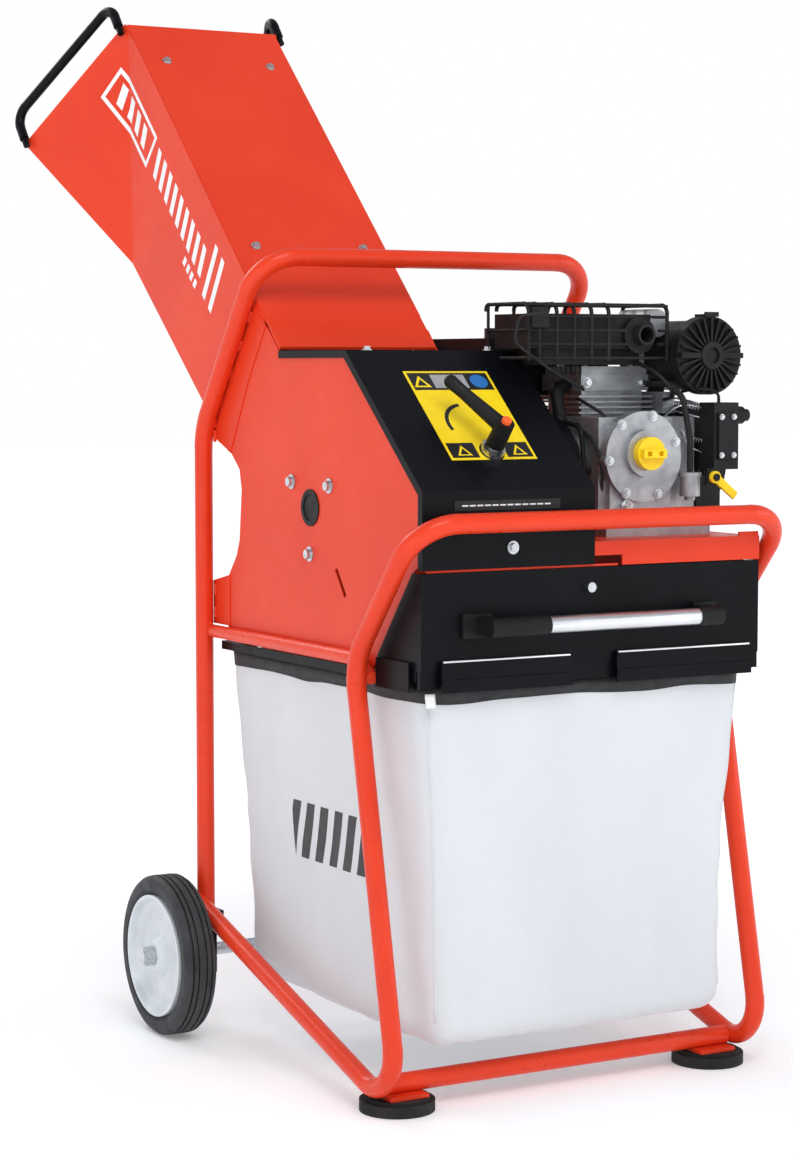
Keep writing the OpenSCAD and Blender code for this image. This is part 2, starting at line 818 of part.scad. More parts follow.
module air_cleaner_cover() color([0.035, 0.035, 0.04])
  placed() {
    difference() {
      union() {
        cyl_y(262, -560, -540, 1062, 58);
        cyl_y(262, -570, -559, 1062, 20);
        for (a = [0 : 15 : 345])
          translate([262, -559, 1062])
            rotate([90, a, 0])
              translate([18, -1.5, 0]) cube([37, 3, 8]);
        box(206, 318, -569, -559, 1058, 1066);
      }
      cyl_y(262, -572, -566, 1062, 12);
    }
    // spring clip over the rim
    box(250, 274, -567, -563, 1119, 1126);
    box(254, 270, -564, -534, 1119, 1123);
  }

// carburettor body, breather canister and the fuel filter bowl
module carburettor() color([0.55, 0.56, 0.58])
  placed() {
    box(218, 239.7, -505, -435, 976, 1008);
    cyl_y(206, -505, -425, 1110, 21);
    box(198, 208, -470, -461, 1046, 1092);
    translate([212, -583, 856]) cylinder(h = 30, r = 15);
    translate([212, -583, 885]) cylinder(h = 6, r = 17);
    translate([212, -583, 850]) cylinder(h = 7, r = 8);
    box(208, 218, -585, -560, 886, 891);
  }

// fuel hose from the bowl to the head, and the switch cable that loops past the cage
module engine_hoses() color([0.03, 0.03, 0.035])
  placed() {
    bent_rod([[212, -583, 891], [212, -583, 940], [208, -570, 1000], [204, -540, 1020],
      [204, -478.2, 1020]], [0, 26, 22, 14, 0], 9);
    bent_rod([[-24, -541, 1122], [-24, -553, 1122], [-66, -553, 1118], [-72, -548, 1080],
      [-10, -545, 1042], [60, -530, 1012], [91, -478.2, 1016]], [0, 5, 14, 18, 24, 16, 0], 4);
  }

module blower_housing() color([0.045, 0.045, 0.05])
  placed()
    difference() {
      union() {
        cyl_x(240, 284, crank_y, crank_z, 88);
        box(240, 284, -560, -380, 822.2, 906);
        box(248, 278, -567, -556, 885, 927);
      }
      cyl_x(245, 278, crank_y, crank_z, 80);
    }

module starter_cover() color([0.035, 0.035, 0.04])
  placed()
    difference() {
      union() {
        cyl_x(284, 300, crank_y, crank_z, 76);
        cyl_x(300, 310, crank_y, crank_z, 40);
      }
      for (a = [0 : 30 : 330])
        along_x(296, 312)
          translate([crank_y, crank_z])
            rotate(a)
              translate([48, -4]) square([22, 8]);
      cyl_x(290, 312, crank_y + 60, crank_z + 52, 3);
    }

module starter_grip() color([0.03, 0.03, 0.035])
  placed()
    difference() {
      hull() {
        cyl_x(303, 315, crank_y + 44, crank_z + 50, 8);
        cyl_x(303, 315, crank_y + 74, crank_z + 50, 8);
      }
      cyl_x(300, 320, crank_y + 59, crank_z + 50, 2.5);
    }

choke_x = 240;
choke_z = 884;

module control_box() color([0.05, 0.05, 0.055])
  placed() {
    box(240, 284, -604, -567, 895, 993);
    box(246, 278, -608, -603, 910, 978);
    // tab and pin of the choke lever
    box(228, 252, -604, -598, 872, 897);
    cyl_y(choke_x, -611, -600, choke_z, 3);
    cyl_y(choke_x, -612.5, -610.5, choke_z, 5.5);
  }

module throttle_knob() color([0.03, 0.03, 0.035])
  placed() {
    cyl_x(284.3, 302, -586, 974, 13);
    cyl_x(301, 312, -586, 974, 9);
  }

module choke_lever() color([0.95, 0.8, 0.08])
  placed()
    difference() {
      union() {
        cyl_y(choke_x, -609.5, -604.3, choke_z, 9);
        translate([choke_x, -609.5, choke_z])
          rotate([0, 38, 0])
            translate([0, 0, -6]) cube([46, 5.2, 12]);
      }
      cyl_y(choke_x, -612, -602, choke_z, 3.05);
    }

module fuel_tank() color([0.06, 0.06, 0.065])
  placed()
    difference() {
      union() {
        box(2, 190, -360, -186, 1000, 1088);
        box(-1, 196, -366, -180, 1050, 1056);
        for (x = [80, 170]) {
          box(x, x + 16, -340, -332, 972, 1001);
          box(x, x + 16, -340, -210, 994, 1001);
        }
      }
      box(6, 186, -356, -190, 1004, 1084);
      translate([90, -270, 1080]) cylinder(h = 20, r = 26);
    }

module fuel_cap() color([0.03, 0.03, 0.035])
  placed() {
    translate([90, -270, 1088.3]) cylinder(h = 16, r = 34);
    translate([90, -270, 1074]) cylinder(h = 14.5, r = 25.9);
  }

// ---------- bolts, nuts, drain plug and curtain pin ----------
module rotor_bolts() {
  for (a = [32, 150, 271]) {
    y = rotor_y + 68 * cos(a);
    z = rotor_z + 68 * sin(a);
    bolt_head([-plate_x, y, z], [-1, 0, 0], 13);
    cyl_x(-plate_x - 1, -plate_x + sheet_t + 8, y, z, 5);
    bolt_head([inner_x + sheet_t, y, z], [1, 0, 0], 13);
    cyl_x(inner_x - 8, inner_x + sheet_t + 1, y, z, 5);
  }
}

module deck_bolts() {
  for (x = [90, 220])
    for (y = [-560, -380]) {
      translate([x, y, 790]) cylinder(h = 24, r = 4.2);
      bolt_head([x, y, 812], [0, 0, 1], 12);
      translate([x, y, 789]) cylinder(h = 7, r = 7.5, $fn = 6);
    }
}

module bolts() color([0.75, 0.77, 0.8])
  placed() {
    rotor_bolts();
    deck_bolts();
    both_sides()
      translate([-270, -560, 1]) {
        cylinder(h = 5, d = 18, $fn = 6);
        cylinder(h = 23, d = 10);
      }
    for (side = [-1, 1])
      for (y = [250, -68])
        bolt_head([chute_x + side * (chute_w / 2 - 42), y, chute_line_top(y)],
          [0, -0.7, 0.713], 9);
    cyl_x(-plate_x + sheet_t, inner_x - sheet_t, curtain_y, curtain_z, 5);
    bolt_head([-139, face_y, 796], [0, -1, 0], 11);
    bolt_head([-242, -425, guard_top_z], [0, 0, 1], 9);
    bolt_head([-40, -425, guard_top_z], [0, 0, 1], 9);
    for (a = cover_angles)
      bolt_head([132 + 60 * cos(a), -580, 915 + 60 * sin(a)], [0, -1, 0], 8);
    // drain plug
    cyl_y(105, -577, -572, 844.5, 9);
    translate([105, -576, 844.5]) rotate([90, 0, 0]) cylinder(h = 8, r = 7, $fn = 6);
  }

// ---------- pull-out bag holder ----------
hood_x = 286;

module discharge_hood() color([0.04, 0.04, 0.05])
  placed() {
    difference() {
      box(-hood_x, hood_x, face_y, face_y + 2.5, hood_low_z, hood_top_z);
      cyl_y(-12, face_y - 5, face_y + 5, 736, 5);
    }
    box(-hood_x, hood_x, face_y, face_y + 14, hood_top_z - 2.5, hood_top_z);
    both_sides()
      side_sheet(-hood_x, [[face_y, hood_low_z], [face_y, hood_top_z], [-629, hood_top_z],
        [-532, 643], [-532, hood_low_z]], 2.5);
    // slide bars that carry the rim of the bag
    both_sides()
      box(-hood_x + 6, -hood_x + 9, -640, -26, 606, 619);
    box(-hood_x + 6, hood_x - 6, -29, -26, 606, 619);
    both_sides()
      box(-hood_x, -hood_x + 9, -640, -536, 616, 632);
    box(-hood_x, hood_x, face_y + 2, face_y + 10, 606, 632);
  }

module hood_handle_tube() color([0.75, 0.77, 0.8])
  placed() {
    translate([-105, -690, 690]) rotate([0, 90, 0]) cylinder(h = 256, d = 24);
  }

module handle_brackets() color([0.03, 0.03, 0.035])
  placed()
    for (e = [[-200, -105, 1], [151, 190, -1]])
      union() {
        translate([e[0], -690, 690]) rotate([0, 90, 0]) cylinder(h = e[1] - e[0], d = 28);
        box(e[2] > 0 ? -200 : 166, e[2] > 0 ? -176 : 190, -690, face_y, 677, 703);
        box(e[2] > 0 ? -222 : 166, e[2] > 0 ? -176 : 205, face_y - 6, face_y, 673, 707);
      }

module hood_latch() color([0.75, 0.77, 0.8])
  placed() {
    cyl_y(-12, face_y - 9, face_y - 0.3, 736, 7);
    cyl_y(-12, face_y - 0.4, face_y + 16, 736, 4.9);
    cyl_y(-12, face_y + 8, face_y + 16, 736, 6.5);
  }

module clip_rails() color([0.04, 0.04, 0.045])
  placed() {
    for (e = [[-258, -44], [31, 268]]) {
      box(e[0], e[1], face_y - 8, face_y, 634, 641);
      box(e[0], e[1], face_y - 9, face_y - 5, 600, 641);
      box(e[0], e[1], face_y - 11, face_y - 9, 612, 618);
    }
    both_sides() {
      box(-hood_x - 5, -hood_x, -629, -538, 634, 641);
      box(-hood_x - 6, -hood_x - 3, -629, -538, 600, 641);
    }
  }

bag_l0 = -642;
bag_l1 = -30;

// rounded slab of the bag at height z: half width w, from y0 to y1
module bag_slab(w, y0, y1, z, r) {
  for (x = [-w + r, w - r])
    for (y = [y0 + r, y1 - r])
      translate([x, y, z])
        cylinder(h = 1, r = r, $fn = 32);
}

module bag_shape(e, z_low) {
  hull() {
    bag_slab(bag_w / 2 - e, bag_l0 + e, bag_l1 - e, bag_top_z - 1, 16);
    bag_slab(bag_w / 2 - 24 - e, bag_l0 + 12 + e, bag_l1 - 30 - e, bag_top_z - bag_h + z_low, 26);
  }
}

module collection_bag() color([0.9, 0.91, 0.93])
  placed()
    difference() {
      bag_shape(0, 0);
      translate([0, 0, 1]) bag_shape(4, 3);
    }

rear_hoop();
front_hoop();
frame_crossbars();
plastic_plugs();
rubber_feet();
bolts();
axle_brackets();
axle();
tyre_left();
rim_left();
tyre_right();
rim_right();
side_plate_left();
side_plate_right();
inner_plate();
rotor_casing();
rotor_bearings();
feed_chute();
chute_handles();
chute_curtain();
control_guard();
control_label();
lever_bush();
lever_stalk();
lever_grip();
lever_button();
rotor_shaft();
rotor_drum();
rotor_knives();
rotor_pulley();
engine_crankshaft();
drive_belt();
belt_cover();
belt_idler();
engine_deck();
crankcase();
crankcase_cover();
oil_cap();
engine_cylinder();
spark_plug();
muffler();
muffler_guard();
air_cleaner_body();
air_cleaner_cover();
carburettor();
engine_hoses();
blower_housing();
starter_cover();
starter_grip();
control_box();
throttle_knob();
choke_lever();
fuel_tank();
fuel_cap();
discharge_hood();
hood_handle_tube();
handle_brackets();
hood_latch();
clip_rails();
collection_bag();
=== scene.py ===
# %% [markdown]
# # A petrol wood chipper with a collection bag
# The machine stands on a bent tube frame. Every hard piece comes in as a finished
# solid, so this lesson is about what the solids can't say: how powder coat, zinc,
# cast metal, moulded plastic, rubber and woven fabric look, and how the soft bag
# hangs. The solids are loaded first, in metres, and are never reshaped.

# %% Load the frame
import bpy
import bmesh
import json
import math
from mathutils import Matrix, Vector, noise


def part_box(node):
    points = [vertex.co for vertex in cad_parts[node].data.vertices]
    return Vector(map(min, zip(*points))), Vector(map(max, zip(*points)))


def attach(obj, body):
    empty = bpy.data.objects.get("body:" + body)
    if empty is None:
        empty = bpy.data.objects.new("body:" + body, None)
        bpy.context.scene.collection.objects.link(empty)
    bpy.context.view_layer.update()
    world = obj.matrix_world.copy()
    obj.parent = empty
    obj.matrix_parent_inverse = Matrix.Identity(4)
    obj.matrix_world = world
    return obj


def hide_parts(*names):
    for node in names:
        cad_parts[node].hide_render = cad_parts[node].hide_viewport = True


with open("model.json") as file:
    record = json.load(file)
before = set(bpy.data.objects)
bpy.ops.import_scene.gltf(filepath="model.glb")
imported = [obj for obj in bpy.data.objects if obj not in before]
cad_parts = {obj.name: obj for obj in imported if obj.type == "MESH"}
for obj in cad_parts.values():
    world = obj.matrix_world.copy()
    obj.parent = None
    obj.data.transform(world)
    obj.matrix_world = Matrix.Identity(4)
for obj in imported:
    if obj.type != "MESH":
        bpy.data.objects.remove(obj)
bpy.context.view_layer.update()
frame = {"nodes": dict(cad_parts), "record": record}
nodes = frame["nodes"]
MM = 0.001
tube_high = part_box("rear_hoop")[1]
Y_SHIFT = tube_high.y - 0.014
print("solids:", len(nodes), "  rear legs stand at y =", round(Y_SHIFT, 4))


def place(x, y, z):
    """A point given in millimetres, with y counted from the rear legs."""
    return Vector((x * MM, y * MM + Y_SHIFT, z * MM))


# %% [markdown]
# ## A small kit for finishes
# Every finish here starts from the same shader and then gets its own grain. A short
# helper makes the material and hands back the shader, and three more add noise, a
# colour ramp and a bump. Patterns read Object coordinates, which are metres on every
# solid, so a scale of 1000 is a grain of about a millimetre.

# %% Finish kit
def finish(name, colour, roughness, metallic=0.0, coat=0.0, coat_roughness=0.1, shine=0.5):
    mat = bpy.data.materials.new(name)
    mat.use_nodes = True
    shader = mat.node_tree.nodes["Principled BSDF"]
    shader.inputs["Base Color"].default_value = (*colour, 1)
    shader.inputs["Roughness"].default_value = roughness
    shader.inputs["Metallic"].default_value = metallic
    shader.inputs["Coat Weight"].default_value = coat
    shader.inputs["Coat Roughness"].default_value = coat_roughness
    shader.inputs["Specular IOR Level"].default_value = shine
    return mat


def add(mat, kind, **values):
    node = mat.node_tree.nodes.new(kind)
    for key, value in values.items():
        if hasattr(node, key):
            setattr(node, key, value)
        else:
            node.inputs[key.replace("_", " ")].default_value = value
    return node


def join(mat, source, target):
    mat.node_tree.links.new(source, target)


def shader_of(mat):
    return mat.node_tree.nodes["Principled BSDF"]


def grain(mat, scale, detail=3.0, stretch=(1, 1, 1), uv=False):
    """Noise on the surface; stretch is larger where the grain is finer."""
    coords = add(mat, "ShaderNodeTexCoord")
    mapping = add(mat, "ShaderNodeMapping")
    mapping.inputs["Scale"].default_value = stretch
    join(mat, coords.outputs["UV" if uv else "Object"], mapping.inputs["Vector"])
    texture = add(mat, "ShaderNodeTexNoise", Scale=scale, Detail=detail)
    join(mat, mapping.outputs["Vector"], texture.inputs["Vector"])
    return texture.outputs["Fac"]


def spread(mat, fac, low, high, start=0.3, end=0.7):
    """Maps a 0..1 pattern to values from low to high."""
    node = add(mat, "ShaderNodeMapRange")
    node.inputs["From Min"].default_value = start
    node.inputs["From Max"].default_value = end
    node.inputs["To Min"].default_value = low
    node.inputs["To Max"].default_value = high
    join(mat, fac, node.inputs["Value"])
    return node.outputs["Result"]


def tint(mat, fac, colours):
    """Colours the surface by a pattern, evenly through the list of colours."""
    ramp = add(mat, "ShaderNodeValToRGB")
    while len(ramp.color_ramp.elements) < len(colours):
        ramp.color_ramp.elements.new(0.5)
    for i, colour in enumerate(colours):
        element = ramp.color_ramp.elements[i]
        element.position = 0.3 + 0.4 * i / (len(colours) - 1)
        element.color = (*colour, 1)
    join(mat, fac, ramp.inputs["Fac"])
    join(mat, ramp.outputs["Color"], shader_of(mat).inputs["Base Color"])


def bump(mat, fac, strength, depth, after=None):
    node = add(mat, "ShaderNodeBump", Strength=strength, Distance=depth)
    join(mat, fac, node.inputs["Height"])
    if after is not None:
        join(mat, after, node.inputs["Normal"])
    join(mat, node.outputs["Normal"], shader_of(mat).inputs["Normal"])
    return node.outputs["Normal"]


def rough(mat, fac, low, high):
    join(mat, spread(mat, fac, low, high), shader_of(mat).inputs["Roughness"])


# %% [markdown]
# ## Powder coat
# The tubes and sheets are powder coated in a bright orange-red. Powder flows into a
# skin with a faint orange-peel ripple, so the gloss is soft at the edges of a
# reflection. One shallow ripple of about 4 mm and a slow drift in tone give that look;
# a thin clear coat carries the highlight.

# %% Red powder coat
def powder_coat(name, tones, roughness, coat, shine=0.22):
    mat = finish(name, tones[0], roughness, coat=coat, coat_roughness=0.12, shine=shine)
    tint(mat, grain(mat, 6, 2), tones)
    rough(mat, grain(mat, 40, 4), roughness - 0.05, roughness + 0.07)
    bump(mat, grain(mat, 240, 1), 0.03, 0.0003)
    return mat


RED_TONES = [(0.72, 0.040, 0.010), (0.75, 0.045, 0.012), (0.78, 0.050, 0.014)]
red_tube = powder_coat("red_tube_coat", RED_TONES, 0.30, 0.12)
red_sheet = powder_coat("red_sheet_coat", RED_TONES, 0.38, 0.06)
print("red finishes:", red_tube.name, red_sheet.name)

# %% [markdown]
# ## Black coat, black plastic and rubber
# Three blacks have to look different. The coated sheet is satin and even, moulded
# plastic has a fine leathery grain and worn, paler high spots, and rubber is dull
# with dust in it.

# %% The blacks
BLACK_TONES = [(0.0025, 0.003, 0.004), (0.0035, 0.004, 0.0055), (0.005, 0.0055, 0.007)]
black_coat = powder_coat("black_satin_coat", BLACK_TONES, 0.34, 0.02, 0.1)

moulded = finish("moulded_black", (0.009, 0.009, 0.01), 0.5, shine=0.18)
tint(moulded, grain(moulded, 9, 3), [(0.006, 0.006, 0.0065), (0.013, 0.013, 0.014)])
rough(moulded, grain(moulded, 70, 4), 0.38, 0.58)
bump(moulded, grain(moulded, 1400, 3), 0.22, 0.0003)

rubber = finish("dull_rubber", (0.012, 0.012, 0.013), 0.75, shine=0.3)
tint(rubber, grain(rubber, 22, 5), [(0.008, 0.008, 0.009), (0.022, 0.021, 0.021)])
rough(rubber, grain(rubber, 60, 4), 0.62, 0.85)
bump(rubber, grain(rubber, 900, 3), 0.2, 0.0003)

tyre_rubber = finish("tyre_rubber", (0.034, 0.036, 0.039), 0.7)
tint(tyre_rubber, grain(tyre_rubber, 30, 5), [(0.022, 0.024, 0.027), (0.042, 0.044, 0.047)])
rough(tyre_rubber, grain(tyre_rubber, 55, 4), 0.55, 0.8)
bump(tyre_rubber, grain(tyre_rubber, 600, 4), 0.25, 0.0005)

heat_black = finish("heat_proof_black", (0.01, 0.01, 0.011), 0.6, shine=0.2)
tint(heat_black, grain(heat_black, 18, 5), [(0.006, 0.006, 0.007), (0.02, 0.018, 0.017)])
rough(heat_black, grain(heat_black, 45, 4), 0.45, 0.72)
bump(heat_black, grain(heat_black, 1100, 4), 0.3, 0.0003)
print("black finishes: 5")

# %% [markdown]
# ## Metals
# Zinc plating has a faint blue-grey crystal pattern, the pull bar is brushed along
# its length, die-cast aluminium is sandy from the mould, and the rims wear a light
# grey enamel with a little road dust.

# %% The metals
zinc = finish("zinc_plate", (0.62, 0.64, 0.67), 0.32, 1.0)
tint(zinc, grain(zinc, 260, 4), [(0.5, 0.52, 0.55), (0.72, 0.74, 0.76)])
rough(zinc, grain(zinc, 160, 3), 0.22, 0.42)
bump(zinc, grain(zinc, 700, 3), 0.12, 0.0002)

brushed = finish("brushed_bar", (0.78, 0.79, 0.8), 0.28, 1.0)
tint(brushed, grain(brushed, 14, 4), [(0.7, 0.71, 0.73), (0.84, 0.85, 0.86)])
rough(brushed, grain(brushed, 700, 3, (0.02, 1, 1)), 0.22, 0.4)
bump(brushed, grain(brushed, 1600, 3, (0.015, 1, 1)), 0.16, 0.0002)

cast = finish("die_cast", (0.36, 0.37, 0.39), 0.5, 0.85)
tint(cast, grain(cast, 34, 5), [(0.30, 0.31, 0.33), (0.46, 0.47, 0.49)])
rough(cast, grain(cast, 90, 4), 0.38, 0.6)
bump(cast, grain(cast, 1000, 5), 0.4, 0.0004)

dark_cast = finish("dark_casting", (0.10, 0.10, 0.11), 0.6, 0.7)
tint(dark_cast, grain(dark_cast, 30, 5), [(0.07, 0.07, 0.075), (0.16, 0.155, 0.15)])
rough(dark_cast, grain(dark_cast, 80, 4), 0.45, 0.7)
bump(dark_cast, grain(dark_cast, 700, 5), 0.45, 0.0005)

enamel = finish("rim_enamel", (0.58, 0.61, 0.64), 0.36, coat=0.2)
tint(enamel, grain(enamel, 24, 5), [(0.60, 0.64, 0.67), (0.72, 0.76, 0.79)])
rough(enamel, grain(enamel, 60, 4), 0.28, 0.5)
bump(enamel, grain(enamel, 500, 3), 0.12, 0.0003)
print("metal finishes: 5")

# %% [markdown]
# ## Bright plastics and printed film
# The filler cap and choke lever are yellow, the release button is orange-red, and the
# panel on the guard is a printed film. Each has a slightly uneven gloss, because a
# perfectly even one looks like a drawing.

# %% The colours
def plain_plastic(name, dark, light, low=0.28, high=0.42):
    mat = finish(name, light, low, coat=0.04, shine=0.25)
    tint(mat, grain(mat, 40, 3), [dark, light])
    rough(mat, grain(mat, 90, 3), low, high)
    bump(mat, grain(mat, 900, 2), 0.1, 0.0002)
    return mat


yellow = plain_plastic("yellow_plastic", (0.88, 0.58, 0.008), (0.96, 0.68, 0.012))
orange = plain_plastic("button_plastic", (0.86, 0.10, 0.02), (0.92, 0.14, 0.03))
film_yellow = plain_plastic("film_yellow", (0.90, 0.62, 0.01), (0.95, 0.70, 0.015), 0.3, 0.4)
film_black = plain_plastic("film_black", (0.012, 0.012, 0.013), (0.02, 0.02, 0.022), 0.3, 0.4)
film_blue = plain_plastic("film_blue", (0.02, 0.14, 0.42), (0.03, 0.18, 0.5), 0.3, 0.4)
film_grey = plain_plastic("film_grey", (0.30, 0.30, 0.31), (0.42, 0.42, 0.43), 0.3, 0.4)
film_white = plain_plastic("film_white", (0.80, 0.80, 0.80), (0.88, 0.88, 0.88), 0.3, 0.4)
print("colour finishes: 7")

# %% Give every solid its finish
FINISHES = {
    "frame_paint": red_tube, "panel_paint": red_sheet, "black_paint": black_coat,
    "rubber": rubber, "bright_steel": zinc, "cast_iron": dark_cast,
    "tyre_rubber": tyre_rubber, "rim_plastic": enamel, "black_plastic": moulded,
    "label": film_yellow, "button_plastic": orange, "yellow_plastic": yellow,
    "cast_aluminium": cast, "heat_paint": heat_black, "handle_tube": brushed,
    "bag_fabric": rubber,
}
slot_of = {row["node"]: row["material_slot"] for row in frame["record"]["subparts"]}
for name, solid in nodes.items():
    solid.data.materials.clear()
    solid.data.materials.append(FINISHES[slot_of[name]])
print("solids with a finish:", len(slot_of))


# %% [markdown]
# ## Making new pieces
# A new piece is drawn in a bmesh, in the place where it belongs, so its object stays
# at the origin. One helper turns the bmesh into an object, gives it a finish and lets
# it ride on a body of the machine.

# %% Piece helper
def piece(name, bm, mat, body, smooth=True):
    mesh = bpy.data.meshes.new(name)
    bm.to_mesh(mesh)
    bm.free()
    for face in mesh.polygons:
        face.use_smooth = smooth
    mesh.materials.append(mat)
    obj = bpy.data.objects.new(name, mesh)
    bpy.context.scene.collection.objects.link(obj)
    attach(obj, body)
    print(name, "faces:", len(mesh.polygons))
    return obj


def film_shape(bm, outline, matrix, thickness):
    """A thin flat shape: its outline is in the plane of the matrix, in metres."""
    corners = [bm.verts.new((u, v, 0)) for u, v in outline]
    face = bm.faces.new(corners)
    raised = bmesh.ops.extrude_face_region(bm, geom=[face])["geom"]
    top = [v for v in raised if isinstance(v, bmesh.types.BMVert)]
    bmesh.ops.translate(bm, vec=(0, 0, thickness), verts=top)
    bmesh.ops.transform(bm, matrix=matrix, verts=corners + top)
    bmesh.ops.recalc_face_normals(bm, faces=bm.faces)


# %% [markdown]
# ## The panel on the sloping guard
# The yellow film is already a solid. What is printed on it is a set of plain shapes:
# a dark band at the top and the bottom with triangles, a grey block and a blue disc.
# The shapes are made in the plane of the slope, with x across and y up the slope, and
# stand a third of a millimetre proud so they can't flicker against the film.

# %% Slope plane
SLOPE_TOP = (-436.0, 1069.0)
SLOPE_LOW = (-653.0, 876.0)
slope_angle = math.atan2(SLOPE_TOP[1] - SLOPE_LOW[1], SLOPE_TOP[0] - SLOPE_LOW[0])
FILM_TOP = 0.62
label_middle_s = 138.0


def slope_matrix(x, s, height):
    """Origin x mm across and s mm down the slope, height mm above it."""
    y = SLOPE_TOP[0] - s * math.cos(slope_angle) - height * math.sin(slope_angle)
    z = SLOPE_TOP[1] - s * math.sin(slope_angle) + height * math.cos(slope_angle)
    return Matrix.Translation(place(x, y, z)) @ Matrix.Rotation(slope_angle, 4, "X")


panel = slope_matrix(-140, label_middle_s, FILM_TOP)


def on_panel(name, outlines, mat, lift=0.0):
    bm = bmesh.new()
    for outline in outlines:
        shape = [(u * MM, v * MM) for u, v in outline]
        film_shape(bm, shape, panel @ Matrix.Translation((0, 0, lift * MM)), 0.3 * MM)
    return piece(name, bm, mat, "frame", smooth=False)


def block(u0, u1, v0, v1):
    return [(u0, v0), (u1, v0), (u1, v1), (u0, v1)]


def triangle(u, v, size):
    return [(u - size, v - size * 0.8), (u + size, v - size * 0.8), (u, v + size * 0.9)]


def disc(u, v, radius, steps=32):
    turn = 2 * math.pi / steps
    return [(u + radius * math.cos(i * turn), v + radius * math.sin(i * turn))
            for i in range(steps)]


# %% Printed shapes
on_panel("panel_dark_bands", [block(-66, 66, 52, 88), block(-66, -22, -88, -58),
                              block(24, 66, -88, -58)], film_black)
on_panel("panel_triangles", [triangle(-50, 69, 14), triangle(-44, -74, 12),
                             triangle(46, -74, 12)], film_yellow, 0.3)
on_panel("panel_grey_block", [block(-30, 26, 56, 84)], film_grey, 0.3)
on_panel("panel_blue_disc", [disc(47, 70, 14)], film_blue, 0.3)
on_panel("panel_marks", [triangle(-50, 67, 8), triangle(-44, -76, 7), triangle(46, -76, 7)],
         film_black, 0.6)
ARC = [math.radians(100 + 12 * i) for i in range(9)]
on_panel("panel_path", [[(-2 + 44 * math.cos(a), -20 + 44 * math.sin(a)) for a in ARC]
                        + [(-2 + 38 * math.cos(a), -20 + 38 * math.sin(a))
                           for a in reversed(ARC)]], film_black, 0.0)

# %% Name strip
strip = Matrix.Translation(place(-147, -653.65, 855.5)) @ Matrix.Rotation(math.pi / 2, 4, "X")
bm = bmesh.new()
film_shape(bm, [(-0.086, -0.0068), (0.086, -0.0068), (0.086, 0.0068), (-0.086, 0.0068)],
           strip, 0.25 * MM)
piece("name_strip_film", bm, film_black, "frame", smooth=False)
bm = bmesh.new()
for i in range(12):
    u = -0.074 + 0.0122 * i
    film_shape(bm, [(u, -0.001), (u + 0.0095, -0.001), (u + 0.0095, 0.001), (u, 0.001)],
               strip @ Matrix.Translation((0, 0, 0.25 * MM)), 0.15 * MM)
piece("name_strip_dashes", bm, film_white, "frame", smooth=False)

# %% [markdown]
# ## White stripes on the chute
# The left cheek of the chute carries a white print. It is drawn as a plain pattern, a
# framed block and a run of slanting bars, in the plane of the cheek: u runs up the
# chute along its top edge and v runs down from that edge. Near the mouth the cheek is
# folded outwards, so the shapes are cut along the fold and the far side leans with it.

# %% Chute print
CHUTE_LOW_END = Vector((0, -231.0, 1070.0))
CHUTE_HIGH_END = Vector((0, 316.0, 1607.0))
along = (CHUTE_HIGH_END - CHUTE_LOW_END).normalized()
across = Vector((0, along.z, -along.y))
CHEEK_X = -281.1
cheek = Matrix.Identity(4)
cheek.col[0] = (*(-along), 0)
cheek.col[1] = (*(-across), 0)
cheek.col[2] = (-1, 0, 0, 0)
cheek.col[3] = (*place(CHEEK_X, CHUTE_HIGH_END.y, CHUTE_HIGH_END.z), 1)


def on_cheek(bm, outline, lift=0.0):
    """Outline in mm: first value down the chute from its mouth, second from the edge."""
    shape = [(u * MM, -v * MM) for u, v in outline]
    film_shape(bm, shape, cheek @ Matrix.Translation((0, 0, lift * MM)), 0.25 * MM)


bm = bmesh.new()
on_cheek(bm, block(44, 220, 55, 62))
on_cheek(bm, block(44, 220, 112, 119))
on_cheek(bm, block(44, 51, 62, 112))
on_cheek(bm, block(213, 220, 62, 112))
for i in range(4):
    u = 66 + 33 * i
    on_cheek(bm, [(u, 70), (u + 17, 70), (u + 29, 104), (u + 12, 104)])
for i in range(9):
    u = 236 + 28.5 * i
    on_cheek(bm, [(u, 62), (u + 14, 62), (u + 28, 110), (u + 14, 110)])
for i in range(2):
    u = 496 + 30 * i
    on_cheek(bm, [(u, 34), (u + 13, 34), (u + 32, 124), (u + 19, 124)])
for i in range(4):
    u = 428 + 17 * i
    on_cheek(bm, block(u, u + 10, 122, 136))
FOLD = place(CHEEK_X, 298.0, 1215.3)
FOLD_TILT = math.radians(1.35)
FOLD_NORMAL = Vector((0, math.cos(FOLD_TILT), -math.sin(FOLD_TILT)))
FLARE_SLOPE = 0.371
geom = bm.verts[:] + bm.edges[:] + bm.faces[:]
bmesh.ops.bisect_plane(bm, geom=geom, plane_co=FOLD, plane_no=FOLD_NORMAL, dist=0.00001)
for v in bm.verts:
    past = (v.co - FOLD).dot(FOLD_NORMAL)
    if past > 0:
        v.co.x -= past * FLARE_SLOPE
piece("chute_print", bm, film_white, "frame", smooth=False)

# %% [markdown]
# ## Weld beads
# The sheets are stitched to the tubes with short welds under the paint. A bead is a
# row of overlapping flat lumps; a small squashed sphere repeated at a 4 mm pitch reads
# as one from any distance, and each lump needs only a few faces.

# %% Weld beads
def bead(bm, start, end, radius):
    a, b = place(*start), place(*end)
    count = max(2, round((b - a).length / (radius * 1.1)))
    for i in range(count):
        centre = a.lerp(b, (i + 0.5) / count)
        size = Matrix.Diagonal((radius, radius, radius * 1.15, 1))
        bmesh.ops.create_icosphere(bm, subdivisions=1, radius=1,
                                   matrix=Matrix.Translation(centre) @ size)


